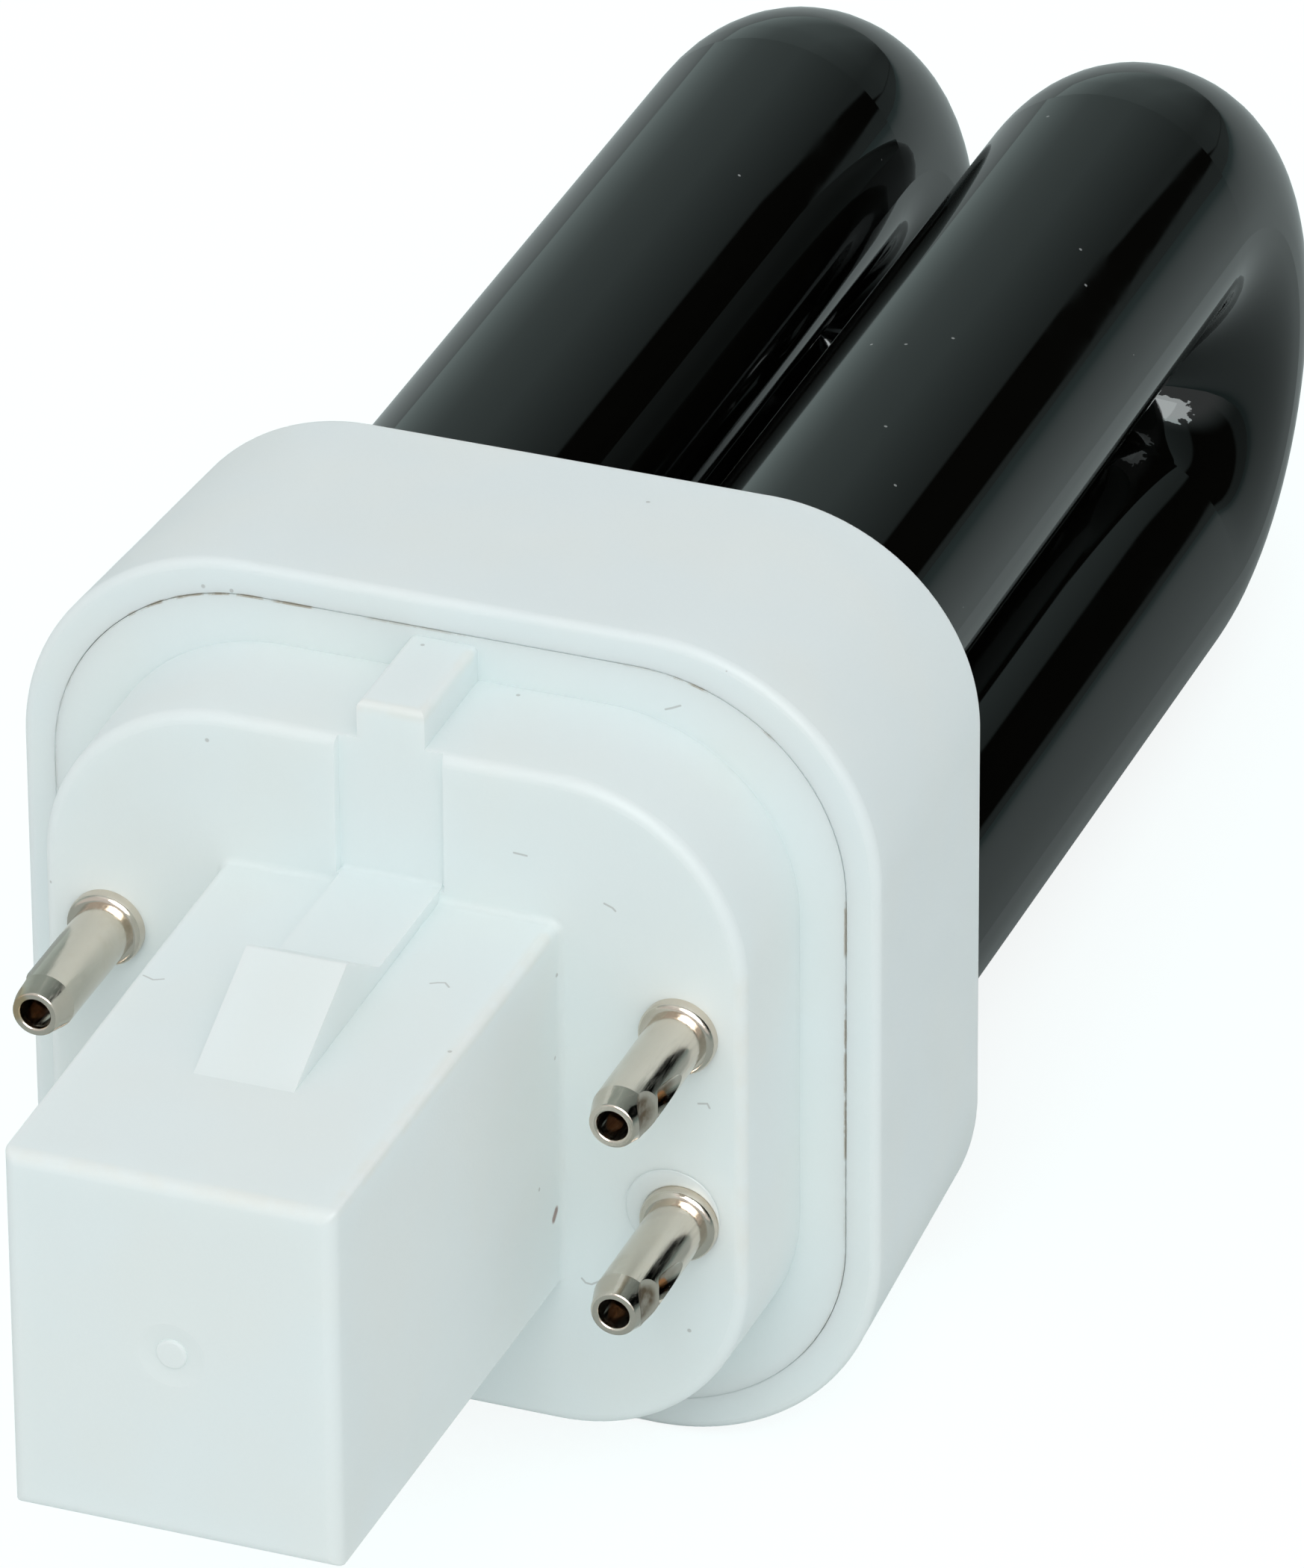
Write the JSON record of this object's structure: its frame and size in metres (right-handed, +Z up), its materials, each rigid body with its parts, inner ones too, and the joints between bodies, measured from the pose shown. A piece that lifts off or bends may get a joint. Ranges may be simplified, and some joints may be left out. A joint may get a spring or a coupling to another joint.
{
  "type": "compact fluorescent blacklight lamp",
  "caption": "Push-in compact fluorescent blacklight lamp: U-bent black glass tubes in a white rounded-square collar, with a cap that has a latch post, key rib and nickel contact pins.",
  "frame": {"origin": "on the lamp's axis, in the plane of the cap's platform face, at the middle of the four pins", "axes": "+Y along the lamp's axis from the cap to the glass bends, +X across the cap between the two pairs of pins, +Z up, on the key rib's side"},
  "size_m": [0.034, 0.0936, 0.034],
  "materials": {
    "black_glass": "glossy near-black glass that passes ultraviolet",
    "collar_plastic": "satin white moulding",
    "cap_plastic": "satin white moulding",
    "nickel_plate": "bright nickel plate on brass",
    "copper_wire": "bare copper wire",
    "cement": "matt basing cement"
  },
  "bodies": {
    "root": {"discharge_tube": "black_glass", "collar": "collar_plastic", "base_cap": "cap_plastic", "contact_pin_upper_right": "nickel_plate", "contact_pin_lower_right": "nickel_plate", "contact_pin_upper_left": "nickel_plate", "contact_pin_lower_left": "nickel_plate", "lead_wire_upper_right": "copper_wire", "lead_wire_lower_right": "copper_wire", "lead_wire_upper_left": "copper_wire", "lead_wire_lower_left": "copper_wire", "tube_cement": "cement"}
  },
  "joints": []
}
